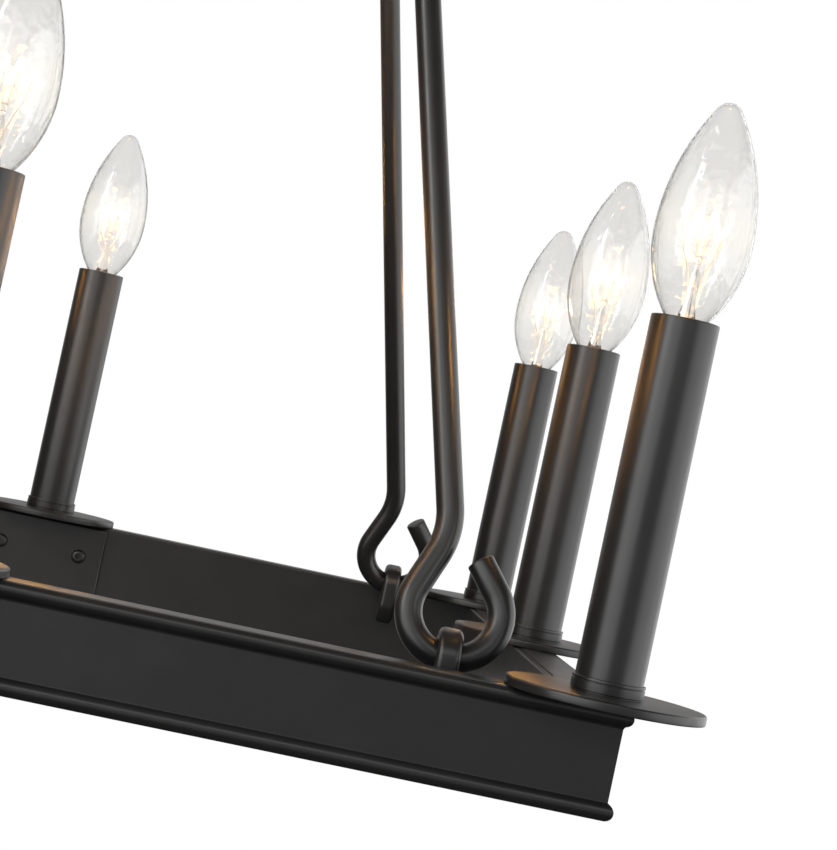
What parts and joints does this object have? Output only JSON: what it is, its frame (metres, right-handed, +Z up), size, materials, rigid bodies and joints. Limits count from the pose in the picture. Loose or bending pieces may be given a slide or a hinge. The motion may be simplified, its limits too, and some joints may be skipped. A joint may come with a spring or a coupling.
{
  "type": "square candle chandelier",
  "caption": "Square chandelier with candle lights on a moulded black rail frame that hangs by hooked rods from a hub, stem and swivel under a round canopy",
  "frame": {"origin": "On the ceiling plane, in the middle of the crossbar bracket and above the middle of the frame", "axes": "+Z up towards the ceiling, +X to the right along the front rail, +Y to the back rail"},
  "size_m": [0.5544, 0.5544, 1.1291],
  "materials": {
    "black": "satin black powder coat",
    "glass": "clear blown glass",
    "nickel": "nickel plate and bare wire",
    "brass": "plain brass",
    "phenolic": "moulded phenolic",
    "insulation": "wire insulation",
    "bushing": "nylon",
    "zinc": "zinc plated steel"
  },
  "bodies": {
    "ceiling": {"ceiling_bracket": "zinc", "ceiling_nipple": "zinc", "ceiling_locknut": "zinc", "canopy": "black", "canopy_studs": "zinc", "canopy_cap_nuts": "black", "swivel_yoke": "black"},
    "swivel": {"swivel_block": "black", "swivel_pins": "zinc"},
    "hub": {"stem_yoke": "black", "stem_tube": "black", "stem_locknut": "zinc", "hub_body": "black", "hub_cover": "black", "hub_finial": "black", "hub_eyes": "black", "hub_bushing": "bushing"},
    "rod_front_right": {"hanger_rod_front_right": "black"},
    "rod_front_left": {"hanger_rod_front_left": "black"},
    "rod_back_right": {"hanger_rod_back_right": "black"},
    "rod_back_left": {"hanger_rod_back_left": "black"},
    "frame": {"candle_cups": "black", "candle_nipples": "zinc", "candle_tubes": "black", "drip_plates": "black", "inner_strip_left": "black", "inner_strip_right": "black", "nipple_nuts": "zinc", "rail_bushing": "bushing", "rail_channel_left": "black", "rail_channel_right": "black", "rail_cover_left": "black", "rail_cover_right": "black", "rail_eye_back_left": "black", "rail_eye_back_right": "black", "rail_eye_front_left": "black", "rail_eye_front_right": "black", "socket_bodies": "phenolic", "socket_risers": "zinc", "socket_shells": "brass", "splice_plate_back": "black", "splice_plate_front": "black", "splice_screws": "black", "wiring_harness": "insulation"},
    "bulb_front_left": {"bulb_glass_front_left": "glass", "bulb_metal_front_left": "nickel"},
    "bulb_front_middle": {"bulb_glass_front_middle": "glass", "bulb_metal_front_middle": "nickel"},
    "bulb_front_right": {"bulb_glass_front_right": "glass", "bulb_metal_front_right": "nickel"},
    "bulb_right_middle": {"bulb_glass_right_middle": "glass", "bulb_metal_right_middle": "nickel"},
    "bulb_back_right": {"bulb_glass_back_right": "glass", "bulb_metal_back_right": "nickel"},
    "bulb_back_middle": {"bulb_glass_back_middle": "glass", "bulb_metal_back_middle": "nickel"},
    "bulb_back_left": {"bulb_glass_back_left": "glass", "bulb_metal_back_left": "nickel"},
    "bulb_left_middle": {"bulb_glass_left_middle": "glass", "bulb_metal_left_middle": "nickel"}
  },
  "joints": [
    {"name": "swivel_tilt_x", "type": "hinge", "parent": "ceiling", "child": "swivel", "pos_m": [0, 0, -0.048], "axis": [1, 0, 0], "range_deg": [-20, 20]},
    {"name": "swivel_tilt_y", "type": "hinge", "parent": "swivel", "child": "hub", "pos_m": [0, 0, -0.048], "axis": [0, 1, 0], "range_deg": [-20, 20]},
    {"name": "frame_twist", "type": "hinge", "parent": "hub", "child": "frame", "pos_m": [0, 0, -1.088], "axis": [0, 0, 1], "range_deg": [-1.5, 1.5]},
    {"name": "rod_swing_front_right", "type": "hinge", "parent": "hub", "child": "rod_front_right", "pos_m": [0.02873, -0.03306, -0.41448], "axis": [0.6155, -0.7083, 0.3456], "range_deg": [-0.62, 0.62]},
    {"name": "rod_swing_front_left", "type": "hinge", "parent": "hub", "child": "rod_front_left", "pos_m": [-0.02873, -0.03306, -0.41448], "axis": [-0.6155, -0.7083, 0.3456], "range_deg": [-0.62, 0.62]},
    {"name": "rod_swing_back_right", "type": "hinge", "parent": "hub", "child": "rod_back_right", "pos_m": [0.02873, 0.03306, -0.41448], "axis": [0.6155, 0.7083, 0.3456], "range_deg": [-0.62, 0.62]},
    {"name": "rod_swing_back_left", "type": "hinge", "parent": "hub", "child": "rod_back_left", "pos_m": [-0.02873, 0.03306, -0.41448], "axis": [-0.6155, 0.7083, 0.3456], "range_deg": [-0.62, 0.62]},
    {"name": "bulb_turn_front_left", "type": "hinge", "parent": "frame", "child": "bulb_front_left", "pos_m": [-0.242, -0.242, -0.9563], "axis": [0, 0, 1], "range_deg": [0, 720]},
    {"name": "bulb_turn_front_middle", "type": "hinge", "parent": "frame", "child": "bulb_front_middle", "pos_m": [0, -0.242, -0.9563], "axis": [0, 0, 1], "range_deg": [0, 720]},
    {"name": "bulb_turn_front_right", "type": "hinge", "parent": "frame", "child": "bulb_front_right", "pos_m": [0.242, -0.242, -0.9563], "axis": [0, 0, 1], "range_deg": [0, 720]},
    {"name": "bulb_turn_right_middle", "type": "hinge", "parent": "frame", "child": "bulb_right_middle", "pos_m": [0.242, 0, -0.9563], "axis": [0, 0, 1], "range_deg": [0, 720]},
    {"name": "bulb_turn_back_right", "type": "hinge", "parent": "frame", "child": "bulb_back_right", "pos_m": [0.242, 0.242, -0.9563], "axis": [0, 0, 1], "range_deg": [0, 720]},
    {"name": "bulb_turn_back_middle", "type": "hinge", "parent": "frame", "child": "bulb_back_middle", "pos_m": [0, 0.242, -0.9563], "axis": [0, 0, 1], "range_deg": [0, 720]},
    {"name": "bulb_turn_back_left", "type": "hinge", "parent": "frame", "child": "bulb_back_left", "pos_m": [-0.242, 0.242, -0.9563], "axis": [0, 0, 1], "range_deg": [0, 720]},
    {"name": "bulb_turn_left_middle", "type": "hinge", "parent": "frame", "child": "bulb_left_middle", "pos_m": [-0.242, 0, -0.9563], "axis": [0, 0, 1], "range_deg": [0, 720]}
  ],
  "couplings": [
    {"joint": "rod_swing_front_right", "follows": "frame_twist", "ratio": 0.4036},
    {"joint": "rod_swing_front_left", "follows": "frame_twist", "ratio": 0.4036},
    {"joint": "rod_swing_back_right", "follows": "frame_twist", "ratio": 0.4036},
    {"joint": "rod_swing_back_left", "follows": "frame_twist", "ratio": 0.4036}
  ]
}
